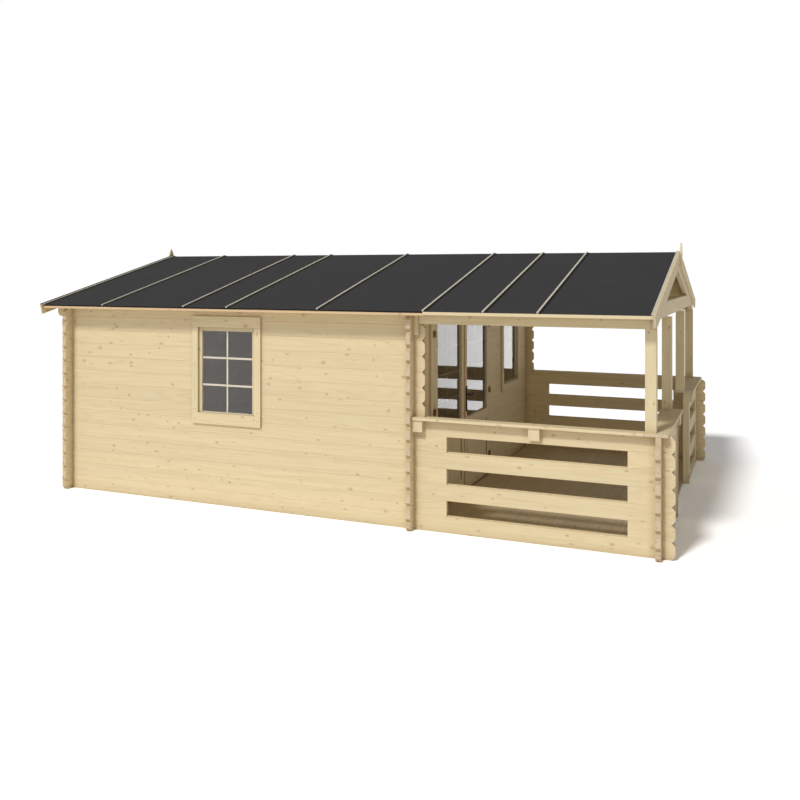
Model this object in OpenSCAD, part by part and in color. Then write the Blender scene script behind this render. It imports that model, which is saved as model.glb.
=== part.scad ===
// Log cabin with a roofed porch: interlocking log walls, double glazed door, railing and felt roof.
// X runs from the back gable to the porch front, Y from the near side to the far side, Z up.

/* [Logs] */
// Height of one wall log
log_h = 145; // [125:1:165]
// Thickness of the wall logs
wall_t = 44; // [36:1:58]
// Height of the first log in the gable walls and the porch front
starter_h = 84; // [72:1:96]
// Length of each log end past the face of the wall it crosses
log_overhang = 106; // [80:1:130]
// Extra length of the top log at the back
top_log_extra = 60; // [30:1:70]
// Depth of the bevels that point each log end
end_bevel_d = 28; // [12:1:36]
// Height of those bevels
end_bevel_h = 32; // [20:1:35]
// Bevel along the long edges of a log
edge_bevel = 3; // [2:0.5:6]
// Height of the tongue on top of a log
tongue_h = 10; // [6:1:13]
// Width of that tongue
tongue_w = 16; // [10:1:20]

/* [Building] */
// Cabin length between the centres of the gable walls
cabin_l = 4050; // [3600:10:4600]
// Cabin width between the centres of the side walls
cabin_w = 4100; // [3900:10:4400]
// Porch length from the front wall to the porch front
porch_l = 2200; // [2000:10:2600]
// Number of logs in a side wall
wall_courses = 14; // [14:1:15]
// Number of logs in the porch railing
rail_courses = 7; // [5:2:7]
// Thickness of the floor boards
floor_t = 20; // [16:1:28]

/* [Porch] */
// Log stub beside a railing slot, at the cabin
slot_start = 339; // [250:1:420]
// Log stub beside a railing slot, at the porch corners
slot_end = 255; // [200:1:320]
// Width of the way in through the porch front
entrance_w = 1404; // [1200:1:1600]
// Log stub beside a front slot, at the way in
entrance_stub = 285; // [200:1:340]
// Thickness of the boards that close the railing at the way in
end_board_t = 24; // [16:1:32]
// How far those boards stand proud of the logs
end_board_proud = 12; // [4:1:20]
// Thickness of the cap board on the railing
cap_t = 25; // [18:1:32]
// Reach of the cap board outside the railing's centre
cap_out = 95; // [85:1:110]
// Reach of the front cap board outside the railing's centre
front_cap_out = 78; // [70:1:95]
// Reach of the front cap board inside the railing's centre
cap_in = 117; // [114:1:135]
// Reach of the side cap board inside the railing's centre
side_cap_in = 22; // [20:1:22]
// How far the front cap passes the end board
cap_past = 12; // [4:1:20]
// Width of the blocks under the cap
block_w = 100; // [80:1:115]
// Height of the blocks under the cap
block_h = 108; // [80:1:120]
// Thickness of the blocks under the cap
block_t = 60; // [40:1:70]
// Side of the square porch posts
post_w = 91; // [80:1:100]
// Distance of the post centres behind the porch front's centre
post_in = 66; // [60:1:68]
// Room left above the posts at the way in
post_gap = 24; // [5:1:30]
// Width of the header beams over the porch sides
header_w = 90; // [80:1:100]
// Depth of the header beams below the nominal top of the side walls
header_drop = 135; // [120:1:140]
// Distance from the front wall's centre to the header beams
header_start = 74; // [66:1:90]
// Side of the upright blocks beside the header beams
header_block_w = 36; // [28:1:40]
// Length of those blocks
header_block_l = 240; // [200:1:280]

/* [Roof] */
// Pitch of the roof in degrees
roof_pitch = 14; // [12:0.5:16]
// Height of the roof boards' underside above the nominal wall top
plate_rise = 18; // [14:1:24]
// Thickness of the roof boards
deck_t = 18; // [15:1:24]
// Thickness of the roofing felt
felt_t = 3; // [2:0.5:5]
// Reach of the roof past the side walls' centres
eave_reach = 212; // [190:1:260]
// Reach of the roof past the back wall's centre
back_reach = 212; // [200:1:250]
// Distance from the porch front's centre back to the roof's front edge
front_inset = 25; // [22:1:40]
// Reach of the cabin's eave trim past the front wall's centre
cabin_trim_reach = 179; // [160:1:220]
// Height of the porch's eave trim
porch_trim_h = 28; // [22:1:36]
// Height of the cabin's eave trim
cabin_trim_h = 34; // [26:1:40]
// Thickness of the cabin's eave trim
eave_trim_t = 18; // [14:1:24]
// Extra thickness of the porch's eave trim
porch_trim_extra = 5; // [2:1:8]
// Width of the battens on the felt
batten_w = 18; // [14:1:24]
// Height of the battens on the felt
batten_h = 12; // [8:1:16]
// Thickness of the barge boards
barge_t = 20; // [16:1:26]
// Depth of the barge boards
barge_d = 110; // [90:1:130]
// Thickness of the porch truss
truss_t = 44; // [36:1:50]
// Depth of the truss rafters
rafter_d = 160; // [140:1:165]
// Depth of the truss tie
tie_d = 138; // [120:1:150]
// Height of the tie's underside above the header beams' underside
tie_lift = 68; // [60:1:80]
// Thickness of the purlins and of the ridge beam
purlin_t = 44; // [36:1:58]
// Width of the gable finials
finial_w = 110; // [90:1:130]
// Height of the gable finials
finial_h = 240; // [200:1:280]
// Thickness of the gable finials
finial_t = 18; // [14:1:24]

/* [Windows] */
// Width of the glass in a window
glass_w = 600; // [540:1:660]
// Height of the glass in a window
glass_h = 833; // [760:1:840]
// Width of the sash bars around the glass
sash_w = 45; // [36:1:50]
// Depth of the sash
sash_t = 36; // [28:1:40]
// Thickness of the window lining
lining_t = 25; // [18:1:28]
// Number of whole logs below a window
sill_courses = 6; // [5:1:6]
// Centre of the side windows from the back wall
side_window_x = 2027; // [1500:1:2500]
// Drop of the front window's hole below the top of the doorway
window_head = 40.8; // [30:0.1:60]
// Centre of the front window from the far side wall
front_window_in = 826; // [780:1:900]
// Drop of the front window's hole into the log below it
front_sill_drop = 35; // [25:1:45]
// Width of the side trims
trim_w = 70; // [55:1:80]
// Width of the top and bottom trims
trim_head_w = 112; // [100:1:120]
// Thickness of all window and door trims
trim_t = 20; // [14:1:24]
// Lap of the side trims over the lining
trim_lap = 33; // [20:1:40]
// Drop of the side windows' bottom trim below the lining
trim_drop = 50; // [40:1:60]
// Width of the front window's bottom trim
front_trim_foot = 84; // [70:1:100]
// Drop of the front window's bottom trim below the lining
front_trim_drop = 22; // [12:1:32]
// Rise of the top trim above the lining
trim_rise = 76; // [60:1:84]
// Thickness of the glass panes
pane_t = 4; // [3:0.5:6]

/* [Doors] */
// Distance from the near side wall's centre to the clear doorway
door_in = 466; // [440:1:500]
// Width of wall between the clear doorway and the front window's hole
pier_w = 603.4; // [580:0.1:620]
// Height of a door leaf
leaf_h = 1899; // [1860:1:1905]
// Thickness of a door leaf
leaf_t = 40; // [34:1:46]
// Room around a leaf in its frame
leaf_gap = 5; // [5:0.5:8]
// Room between the two leaves
meeting_gap = 8; // [8:0.5:12]
// Thickness of the threshold
threshold_h = 32; // [24:1:36]
// Thickness of the door jambs
jamb_t = 36; // [28:1:44]
// Width of the door stop on the jambs
stop_w = 15; // [10:1:20]
// Thickness of that door stop
stop_t = 16; // [12:1:18]
// Width of the door trims
door_trim_w = 84; // [70:1:95]
// Width of the door stiles
stile_w = 85; // [82:1:100]
// Height of the top rail
top_rail_h = 75; // [60:1:90]
// Height of the lock rail's foot above the leaf's foot
lock_rail_z = 653; // [600:1:700]
// Height of the lock rail
lock_rail_h = 110; // [90:1:130]
// Height of the bottom rail
bottom_rail_h = 140; // [120:1:170]
// Thickness of the lower door panel
panel_t = 20; // [14:1:24]
// Depth of the door glass behind the leaf's outer face
glass_inset = 28; // [20:1:30]

/* [Door hardware] */
// Height of a hinge
hinge_h = 64; // [56:1:80]
// Radius of the hinge barrels
barrel_r = 8; // [7:0.5:9]
// Radius of the hinge pins
hinge_pin_r = 4; // [3:0.5:5]
// Running clearance around pins and the spindle
running = 0.06; // [0.03:0.01:0.1]
// Distance of the hinge axis from the leaf's outer face
hinge_off = 11; // [10:0.5:13]
// Width of a hinge plate
plate_w = 34; // [26:1:40]
// Thickness of a hinge plate
plate_t = 3; // [2:0.5:4]
// Height of the lowest hinge above the leaf's foot
low_hinge_z = 221; // [180:1:260]
// Height of the middle hinge above the leaf's foot
mid_hinge_z = 965; // [900:1:1020]
// Drop of the top hinge below the leaf's top
top_hinge_drop = 170; // [140:1:200]
// Height of the handle's spindle above the leaf's foot
spindle_z = 1014; // [970:1:1050]
// Distance of the spindle from the leaf's meeting edge
backset = 60; // [50:1:70]
// Radius of the spindle
spindle_r = 6; // [5:0.5:8]
// Height of the handle plates
handle_plate_h = 270; // [220:1:300]
// Width of the handle plates
handle_plate_w = 42; // [34:1:50]
// Thickness of the handle plates
handle_plate_t = 6; // [4:0.5:8]
// Length of the handle levers
lever_l = 140; // [120:1:150]
// Stand-off of the levers from the plates
lever_off = 42; // [34:1:50]

/* [Fits] */
// Gap between pieces that rest on each other
seat = 0.3; // [0.2:0.05:0.5]

/* [Hidden] */
$fn = 48;

pine = "#ead6a6";
pine_edge = "#dcc58f";
honey = "#dfae78";
dark_felt = "#3d3d3d";
pane = "#6d7276";
brass = "#a9822f";
black = "#1c1c1c";

// Walls
reach = wall_t / 2 + log_overhang;
notch_w = wall_t + 2 * seat;
neck_h = log_h / 2;
side_low = starter_h / 2;
gable_low = (log_h - starter_h) / 2;
wall_face = wall_t / 2;
rail_x = cabin_l + porch_l;
rail_top = rail_courses * log_h;
wall_top = wall_courses * log_h;

// Roof planes, given by the underside of the roof boards
slope = tan(roof_pitch);
ridge_y = cabin_w / 2;
plate_z = wall_top + plate_rise;
function roof_z(y) = plate_z + slope * min(y, cabin_w - y);
function roof_y(z) = (z - plate_z) / slope;
function upright(t) = t / cos(roof_pitch);
ridge_z = roof_z(ridge_y);
gable_courses = floor((ridge_z - starter_h) / log_h);
purlin_course = wall_courses;
tip_h = 12;
roof_back = -back_reach;
roof_front = rail_x - front_inset;
deck_eave = -eave_reach + eave_trim_t;
felt_low = upright(deck_t) + seat;
felt_high = felt_low + upright(felt_t);
batten_low = felt_high + seat;
batten_high = batten_low + upright(batten_h);

// The box of the whole building, so that the origin is at the middle of its base
x_low = roof_back - seat - barge_t - seat - finial_t;
x_high = rail_x + reach;
x_mid = (x_low + x_high) / 2;

// Windows
function hole_for(glass) = glass + 2 * (sash_w + lining_t) + 4 * seat;
hole_w = hole_for(glass_w);
side_sill_z = sill_courses * log_h;
front_sill_z = starter_h + sill_courses * log_h - front_sill_drop;
front_window_y = cabin_w - front_window_in;

// Doorway
opening_y0 = door_in;
opening_y1 = front_window_y - hole_w / 2 - pier_w;
meeting_y = (opening_y0 + opening_y1) / 2;
leaf_w = (opening_y1 - opening_y0 - meeting_gap) / 2 - leaf_gap;
doorway_y0 = opening_y0 - jamb_t - seat;
doorway_y1 = opening_y1 + jamb_t + seat;
leaf_foot = threshold_h + leaf_gap + seat;
leaf_top = leaf_foot + leaf_h;
door_courses = ceil((leaf_top + leaf_gap - starter_h) / log_h);
doorway_z = starter_h + door_courses * log_h;
front_glass_h = doorway_z - window_head - front_sill_z - hole_for(0);
door_face = cabin_l + wall_face + seat + trim_t;
hinge_x = door_face + hinge_off;
near_hinge_y = opening_y0 + leaf_gap / 2;
far_hinge_y = opening_y1 - leaf_gap / 2;
door_glass_h = leaf_h - top_rail_h - lock_rail_z - lock_rail_h;
hinge_heights = [low_hinge_z, mid_hinge_z, leaf_h - top_hinge_drop];
spindle_y = meeting_y + meeting_gap / 2 + backset;

// Porch
cap_z = rail_top + seat;
post_foot = cap_z + cap_t + seat;
header_z = wall_top - header_drop;
post_top = header_z - seat;
tie_z = header_z + tie_lift;
post_x = rail_x - post_in;
entrance_y0 = ridge_y - entrance_w / 2;
truss_back = roof_front - truss_t;
header_x = cabin_l + header_start;

// Moves a shape from the wall grid to the frame centred on the base
module placed() { translate([-x_mid, -ridge_y, 0]) children(); }

// A shape on the near side and its mirror image on the far side
module far_side() { translate([0, cabin_w, 0]) mirror([0, 1, 0]) children(); }
module both_sides() {
    children();
    far_side() children();
}

// A board given by its low and high corners
module board(low, high) { translate(low) cube(high - low); }

// An outline in the Y and Z plane, drawn out from x0 to x1
module along_x(x0, x1, points) {
    translate([x0, 0, 0]) rotate([90, 0, 90]) linear_extrude(x1 - x0) polygon(points);
}

// A strip that lies along the near slope, between two heights above the roof boards' underside
module slope_strip(x0, x1, y0, y1, low, high) {
    along_x(x0, x1, [[y0, roof_z(y0) + low], [y1, roof_z(y1) + low],
        [y1, roof_z(y1) + high], [y0, roof_z(y0) + high]]);
}

// All that lies under the roof boards
module under_roof() {
    along_x(x_low, x_high, [[-eave_reach, -log_h], [cabin_w + eave_reach, -log_h],
        [cabin_w + eave_reach, roof_z(-eave_reach) - seat], [ridge_y, ridge_z - seat],
        [-eave_reach, roof_z(-eave_reach) - seat]]);
}

// Cross-section of a log: bevelled edges, tongue above and groove below
function log_section(h, tongue) = let (
    half = wall_t / 2, t = tongue_w / 2, g = tongue_w / 2 + 2 * seat, deep = tongue_h + 2 * seat,
    top = h - seat)
    concat([[-half + edge_bevel, 0], [-g, 0], [-g, deep], [g, deep], [g, 0], [half - edge_bevel, 0],
        [half, edge_bevel], [half, top - edge_bevel], [half - edge_bevel, top]],
        tongue ? [[t, top], [t, h + tongue_h], [-t, h + tongue_h], [-t, top]] : [],
        [[-half + edge_bevel, top], [-half, top - edge_bevel], [-half, edge_bevel]]);

// Side outline of a log from a to b, with a pair of notches at each wall it crosses
function log_outline(a, b, h, crossings, low, high, point_a, point_b) = let (
    top = h + 2 * tongue_h, n = notch_w / 2)
    concat(
        point_a ? [[a, end_bevel_h], [a + end_bevel_d, 0]] : [[a, 0]],
        low > 0 ? [for (c = crossings) each [[c - n, 0], [c - n, low], [c + n, low], [c + n, 0]]] : [],
        point_b ? [[b - end_bevel_d, 0], [b, end_bevel_h], [b, h - end_bevel_h],
            [b - end_bevel_d, h], [b - end_bevel_d, top]] : [[b, 0], [b, top]],
        [for (i = [len(crossings) - 1 : -1 : 0]) let (c = crossings[i], z = high - seat)
            each [[c + n, top], [c + n, z], [c - n, z], [c - n, top]]],
        point_a ? [[a + end_bevel_d, top], [a + end_bevel_d, h], [a, h - end_bevel_h]] : [[a, top]]);

// One log that lies along X on its wall's centre line
module log_piece(a, b, h, crossings, low, high, point_a, point_b, tongue = true) {
    intersection() {
        rotate([90, 0, 0]) linear_extrude(2 * wall_t, center = true)
            polygon(log_outline(a, b, h, crossings, low, high, point_a, point_b));
        along_x(a, b, log_section(h, tongue));
    }
}

// The stretches of log in one course of a side wall and its railing
function side_spans(i) =
    i == wall_courses - 1 ? [[-reach - top_log_extra, header_x - seat, [0, cabin_l], true, false]] :
    i >= rail_courses ? [[-reach, cabin_l + reach, [0, cabin_l], true, true]] :
    i % 2 == 0 ? [[-reach, rail_x + reach, [0, cabin_l, rail_x], true, true]] :
    [[-reach, cabin_l + slot_start, [0, cabin_l], true, false],
        [rail_x - slot_end, rail_x + reach, [rail_x], false, true]];

module window_hole(glass) {
    translate([-hole_w / 2, -2 * wall_t, 0]) cube([hole_w, 4 * wall_t, hole_for(glass)]);
}

module side_course(i) {
    z = i * log_h;
    top_log = i == wall_courses - 1;
    h = top_log ? log_h + plate_rise + wall_t : log_h;
    meets_window = z + log_h + tongue_h > side_sill_z && z < side_sill_z + hole_for(glass_h);
    intersection() {
        difference() {
            translate([0, 0, z]) for (s = side_spans(i))
                log_piece(s[0], s[1], h, s[2], side_low, side_low + neck_h, s[3], s[4], !top_log);
            if (meets_window) translate([side_window_x, 0, side_sill_z]) window_hole(glass_h);
            if (i == rail_courses - 1)
                board([cabin_l + reach, -wall_t, rail_top - seat], [x_high, wall_t, rail_top + log_h]);
        }
        if (top_log) under_roof();
        else board([x_low, -wall_t, 0], [x_high, wall_t, plate_z]);
    }
}

module side_logs(first, last) { for (i = [first : last]) side_course(i); }

// Height of the base, the size and the notches of a gable course, where course -1 is the starter log
function gable_z(j) = j < 0 ? 0 : starter_h + j * log_h;
function gable_h(j) = j < 0 ? starter_h : log_h;
function gable_notch(j) = j < 0 ? 0 : gable_low;
function gable_neck(j) = j < 0 ? starter_h / 2 : gable_low + neck_h;
function whole_ends(j) = roof_z(-reach) - gable_z(j) > end_bevel_h + seat;
function gable_start(j) = whole_ends(j) ? -reach : roof_y(gable_z(j) + tip_h);

// The beams that rest in the gables
purlin_z = gable_z(purlin_course);
purlin_y = roof_y(purlin_z + log_h) + purlin_t / 2;
ridge_beam_z = gable_z(gable_courses - 1);
module purlin(x0, x1, room) {
    y0 = purlin_y - purlin_t / 2 - room;
    y1 = purlin_y + purlin_t / 2 + room;
    along_x(x0, x1, [[y0, purlin_z - room], [y1, purlin_z - room],
        [y1, roof_z(y1) - seat], [y0, roof_z(y0) - seat]]);
}
module ridge(x0, x1, room) {
    half = purlin_t / 2 + room;
    top = roof_z(ridge_y - half) - seat;
    board([x0, ridge_y - half, ridge_beam_z - room], [x1, ridge_y + half, top + room * log_h]);
}

// One stretch of a gable course from y = a to y = b, in the wall centred on x
module gable_log(x, j, a, b) {
    crossings = [for (c = [0, cabin_w]) if (whole_ends(j) && a < c && c < b) c];
    near_end = whole_ends(j) && a == -reach;
    far_end = whole_ends(j) && b == cabin_w + reach;
    cut_by_roof = gable_z(j) + gable_h(j) + tongue_h > roof_z(-reach);
    difference() {
        intersection() {
            translate([x, 0, gable_z(j)]) rotate([0, 0, 90])
                log_piece(a, b, gable_h(j), crossings, gable_notch(j), gable_neck(j), near_end, far_end);
            if (cut_by_roof) under_roof();
            else board([x - wall_t, -2 * reach, 0], [x + wall_t, cabin_w + 2 * reach, plate_z]);
        }
        if (j == purlin_course || j == purlin_course - 1)
            both_sides() purlin(x - wall_t, x + wall_t, seat);
        if (j >= gable_courses - 2) ridge(x - wall_t, x + wall_t, seat);
    }
}
module gable_course(x, j) { gable_log(x, j, gable_start(j), cabin_w - gable_start(j)); }

// Walls
module back_wall() color(pine) placed()
    for (j = [-1 : gable_courses - 1]) gable_course(0, j);
module near_lower_logs() color(pine) placed() side_logs(0, rail_courses - 1);
module near_upper_logs() color(pine) placed() side_logs(rail_courses, wall_courses - 1);
module far_lower_logs() color(pine) placed() far_side() side_logs(0, rail_courses - 1);
module far_upper_logs() color(pine) placed() far_side() side_logs(rail_courses, wall_courses - 1);
module front_wall_near() color(pine) placed()
    for (j = [-1 : door_courses - 1]) gable_log(cabin_l, j, -reach, doorway_y0 - seat);
module front_wall_far() color(pine) placed()
    for (j = [-1 : door_courses - 1]) difference() {
        gable_log(cabin_l, j, doorway_y1 + seat, cabin_w + reach);
        if (gable_z(j) + log_h + tongue_h > front_sill_z)
            translate([cabin_l, front_window_y, front_sill_z]) rotate([0, 0, 90])
                window_hole(front_glass_h);
    }
module front_wall_gable() color(pine) placed()
    for (j = [door_courses : gable_courses - 1]) gable_course(cabin_l, j);

// Floors
module cabin_floor() color(pine_edge) placed()
    board([wall_face + seat, wall_face + seat, 0],
        [cabin_l - wall_face - seat, cabin_w - wall_face - seat, floor_t]);
module porch_floor() color(pine_edge) placed()
    board([cabin_l + wall_face + seat + trim_t + seat, wall_face + seat, 0],
        [rail_x - wall_face - end_board_proud - seat, cabin_w - wall_face - seat, floor_t]);

// Windows, drawn in a wall that faces -Y, with the sill log's top at z = 0
module ring(w, h, z, t, y0, y1) {
    for (s = [-1, 1]) translate([s * (w - t) / 2, (y0 + y1) / 2, z + h / 2])
        cube([t, y1 - y0, h], center = true);
    for (c = [z + t / 2, z + h - t / 2]) translate([0, (y0 + y1) / 2, c])
        cube([w - 2 * t - 2 * seat, y1 - y0, t], center = true);
}
module trim_boards(glass, foot_w, drop, y0, y1) {
    w = hole_w - 2 * trim_lap + 2 * trim_w;
    foot = foot_w - drop;
    high = hole_for(glass) + trim_rise;
    head = high - trim_head_w;
    board([-w / 2, y0, -drop], [w / 2, y1, foot]);
    board([-w / 2, y0, head], [w / 2, y1, high]);
    for (x = [-w / 2, w / 2 - trim_w]) board([x, y0, foot + seat], [x + trim_w, y1, head - seat]);
}
module window_frame(glass, foot_w, drop) {
    ring(hole_w - 2 * seat, hole_for(glass) - 2 * seat, seat, lining_t, -wall_face, wall_face);
    ring(glass_w + 2 * sash_w, glass + 2 * sash_w, lining_t + 2 * seat, sash_w,
        -sash_t / 2, sash_t / 2);
    trim_boards(glass, foot_w, drop, -wall_face - seat - trim_t, -wall_face - seat);
    trim_boards(glass, foot_w, drop, wall_face + seat, wall_face + seat + trim_t);
}
module window_glass(glass) {
    z = lining_t + sash_w + 3 * seat;
    board([-glass_w / 2 + seat, -pane_t / 2, z],
        [glass_w / 2 - seat, pane_t / 2, z + glass - 2 * seat]);
}
module in_side_wall() { translate([side_window_x, 0, side_sill_z]) children(); }
module side_window_frame() { in_side_wall() window_frame(glass_h, trim_head_w, trim_drop); }
module in_front_wall() {
    translate([cabin_l, front_window_y, front_sill_z]) rotate([0, 0, 90]) children();
}
module near_window_frame() color(pine) placed() side_window_frame();
module near_window_glass() color(pane) placed() in_side_wall() window_glass(glass_h);
module far_window_frame() color(pine) placed() far_side() side_window_frame();
module far_window_glass() color(pane) placed() far_side() in_side_wall() window_glass(glass_h);
module front_window_frame() color(pine) placed() in_front_wall()
    window_frame(front_glass_h, front_trim_foot, front_trim_drop);
module front_window_glass() color(pane) placed() in_front_wall() window_glass(front_glass_h);

// Door frame: threshold, jambs with stops, head and the trims on both faces of the wall
module door_side(y, into) {
    low_x = cabin_l - wall_face;
    high_x = cabin_l + wall_face;
    stop_x = door_face - leaf_t - leaf_gap;
    outer = y - into * jamb_t;
    stop = y + into * stop_w;
    board([low_x, min(y, outer), threshold_h + seat], [high_x, max(y, outer), leaf_top + leaf_gap]);
    board([stop_x - stop_t, min(y, stop) + (into > 0 ? seat : 0), threshold_h + seat],
        [stop_x, max(y, stop) - (into < 0 ? seat : 0), leaf_top + leaf_gap]);
    edge = y - into * door_trim_w;
    for (t = [[high_x + seat, 0], [low_x - seat - trim_t, floor_t + seat]])
        board([t[0], min(y, edge), t[1]], [t[0] + trim_t, max(y, edge), leaf_top + leaf_gap]);
}
module door_frame() color(pine) placed() {
    door_side(opening_y0, 1);
    door_side(opening_y1, -1);
    low_x = cabin_l - wall_face;
    high_x = cabin_l + wall_face;
    head_z = leaf_top + leaf_gap + seat;
    board([low_x, doorway_y0 + seat, 0], [high_x, doorway_y1 - seat, threshold_h]);
    board([low_x, doorway_y0 + seat, head_z], [high_x, doorway_y1 - seat, doorway_z - seat]);
    for (x = [high_x + seat, low_x - seat - trim_t])
        board([x, opening_y0 - door_trim_w, head_z],
            [x + trim_t, opening_y1 + door_trim_w, head_z + door_trim_w]);
}

// A hinge half, with its axis on z: the plate lies towards +Y, behind the axis in X
module hinge_half(z0, z1) {
    clear_y = barrel_r + plate_t / 2;
    translate([0, 0, z0]) cylinder(r = barrel_r, h = z1 - z0);
    board([-hinge_off + seat, clear_y, -hinge_h / 2],
        [-hinge_off + seat + plate_t, clear_y + plate_w, hinge_h / 2]);
    board([-hinge_off + seat, 0, z0], [-barrel_r / 2, clear_y, z1]);
}
module leaf_hinge() {
    difference() {
        hinge_half(seat, hinge_h / 2);
        cylinder(r = hinge_pin_r + running, h = hinge_h);
    }
}
module post_hinge() {
    mirror([0, 1, 0]) hinge_half(-hinge_h / 2, -seat);
    translate([0, 0, -seat]) cylinder(r = hinge_pin_r, h = hinge_h / 2);
}
module hinge_row() {
    for (z = hinge_heights) translate([hinge_x, 0, leaf_foot + z]) children();
}
module near_post() { translate([0, near_hinge_y, 0]) children(); }
module far_post() { translate([0, far_hinge_y, 0]) mirror([0, 1, 0]) children(); }
module frame_hinges() color(brass) placed() {
    near_post() hinge_row() post_hinge();
    far_post() hinge_row() post_hinge();
}
module near_door_hinges() color(brass) placed() near_post() hinge_row() leaf_hinge();
module far_door_hinges() color(brass) placed() far_post() hinge_row() leaf_hinge();

// A door leaf: stiles, rails and lower panel, hinged at its low Y edge
module leaf_boards() {
    x0 = door_face - leaf_t;
    inner0 = stile_w + seat;
    inner1 = leaf_w - stile_w - seat;
    glass_z = lock_rail_z + lock_rail_h;
    for (y = [0, leaf_w - stile_w]) board([x0, y, 0], [door_face, y + stile_w, leaf_h]);
    board([x0, inner0, 0], [door_face, inner1, bottom_rail_h]);
    board([x0, inner0, lock_rail_z], [door_face, inner1, glass_z]);
    board([x0, inner0, leaf_h - top_rail_h], [door_face, inner1, leaf_h]);
    mid = door_face - leaf_t / 2;
    board([mid - panel_t / 2, inner0, bottom_rail_h + seat],
        [mid + panel_t / 2, inner1, lock_rail_z - seat]);
}
module leaf_glass() {
    x = door_face - glass_inset;
    z = lock_rail_z + lock_rail_h;
    board([x - pane_t / 2, stile_w + seat, z + seat],
        [x + pane_t / 2, leaf_w - stile_w - seat, z + door_glass_h - seat]);
}
module near_leaf() { translate([0, opening_y0 + leaf_gap, leaf_foot]) children(); }
module far_leaf() { translate([0, opening_y1 - leaf_gap, leaf_foot]) mirror([0, 1, 0]) children(); }
module near_door_leaf() color(pine) placed() near_leaf() leaf_boards();
module near_door_glass() color(pane) placed() near_leaf() leaf_glass();
module far_door_leaf() color(pine) placed() difference() {
    far_leaf() leaf_boards();
    translate([door_face - 2 * leaf_t, spindle_y, leaf_foot + spindle_z])
        rotate([0, 90, 0]) cylinder(r = spindle_r + running, h = 4 * leaf_t);
}
module far_door_glass() color(pane) placed() far_leaf() leaf_glass();

// Door handle: a plate on each face, and two levers on one spindle
module handle_plate(x) {
    low = leaf_foot + spindle_z - handle_plate_h * 2 / 3;
    difference() {
        board([x, spindle_y - handle_plate_w / 2, low],
            [x + handle_plate_t, spindle_y + handle_plate_w / 2, low + handle_plate_h]);
        translate([x - handle_plate_t, spindle_y, leaf_foot + spindle_z])
            rotate([0, 90, 0]) cylinder(r = spindle_r + running, h = 3 * handle_plate_t);
    }
}
module lever_plates() color(black) placed() {
    handle_plate(door_face + seat);
    handle_plate(door_face - leaf_t - seat - handle_plate_t);
}
module lever_arm(x) {
    arm_r = spindle_r + 2;
    translate([x, 0, 0]) sphere(r = arm_r);
    translate([x, 0, 0]) rotate([-90, 0, 0]) cylinder(r = arm_r, h = lever_l - arm_r);
    translate([x, lever_l - arm_r, 0]) sphere(r = arm_r);
}
module door_lever() color(black) placed() translate([0, spindle_y, leaf_foot + spindle_z]) {
    x0 = door_face - leaf_t - seat - handle_plate_t - lever_off;
    x1 = door_face + seat + handle_plate_t + lever_off;
    translate([x0, 0, 0]) rotate([0, 90, 0]) cylinder(r = spindle_r, h = x1 - x0);
    lever_arm(x0);
    lever_arm(x1);
}

// Porch front railing, one half from the near corner to the way in
module front_rail_half() {
    end = entrance_y0 - end_board_t - seat;
    rail_courses_front = floor((rail_top - starter_h) / log_h);
    for (j = [-1 : rail_courses_front - 1]) {
        slotted = j >= 0 && j % 2 == 0;
        if (slotted) {
            gable_log(rail_x, j, -reach, slot_end);
            gable_log(rail_x, j, end - entrance_stub + end_board_t, end);
        } else gable_log(rail_x, j, -reach, end);
    }
    z = gable_z(rail_courses_front);
    translate([rail_x, 0, z]) rotate([0, 0, 90])
        log_piece(-reach + end_bevel_d, end, rail_top - z, [0], gable_low, log_h, false, false, false);
}
module front_rail_near() color(pine) placed() front_rail_half();
module front_rail_far() color(pine) placed() far_side() front_rail_half();
module rail_end_boards() color(pine) placed() both_sides()
    board([rail_x - wall_face - end_board_proud, entrance_y0 - end_board_t, 0],
        [rail_x + wall_face + end_board_proud, entrance_y0, rail_top]);

// Cap boards: the front ones run through the corners, the side ones are notched around the wall's log ends
module rail_caps() color(pine) placed() both_sides() {
    start = cabin_l + wall_face + edge_bevel;
    difference() {
        board([start, -cap_out, cap_z], [rail_x - cap_in - seat, side_cap_in, cap_z + cap_t]);
        board([start - edge_bevel, -wall_face - 2 * seat, rail_top - tongue_h],
            [cabin_l + reach + seat, wall_face + 2 * seat, cap_z + 2 * cap_t]);
    }
    board([rail_x - cap_in, -cap_out, cap_z], [rail_x + front_cap_out, entrance_y0 + cap_past, cap_z + cap_t]);
}
module cap_blocks() color(pine_edge) placed() both_sides() {
    low = cap_z - seat - block_h;
    first = cabin_l + wall_face + seat;
    middle = (first + rail_x + cap_out - block_w) / 2;
    for (x = [first, middle]) board([x, -wall_face - seat - block_t, low],
        [x + block_w, -wall_face - seat, low + block_h]);
    last = entrance_y0 - end_board_t - seat - block_w;
    front_block_t = block_t - cap_out + front_cap_out;
    board([rail_x + wall_face + seat, last, low],
        [rail_x + wall_face + seat + front_block_t, last + block_w, low + block_h]);
}

// Posts and header beams
module post(y, top) {
    board([post_x - post_w / 2, y - post_w / 2, post_foot], [post_x + post_w / 2, y + post_w / 2, top]);
}
module porch_posts() color(pine) placed() both_sides() {
    post(0, post_top);
    post(entrance_y0 - post_w / 2 + cap_past - seat, tie_z - post_gap);
}
module header_beams() color(pine) placed() both_sides() {
    half = header_w / 2;
    along_x(header_x, truss_back - seat, [[-half, header_z], [half, header_z],
        [half, roof_z(half) - seat], [-half, roof_z(-half) - seat]]);
}
module header_blocks() color(pine_edge) placed() both_sides() {
    y1 = -wall_face - seat;
    y0 = y1 - header_block_w;
    x1 = header_x - seat;
    z1 = roof_z(y0) - seat;
    board([x1 - header_block_w, y0, z1 - header_block_l], [x1, y1, z1]);
}

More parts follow.
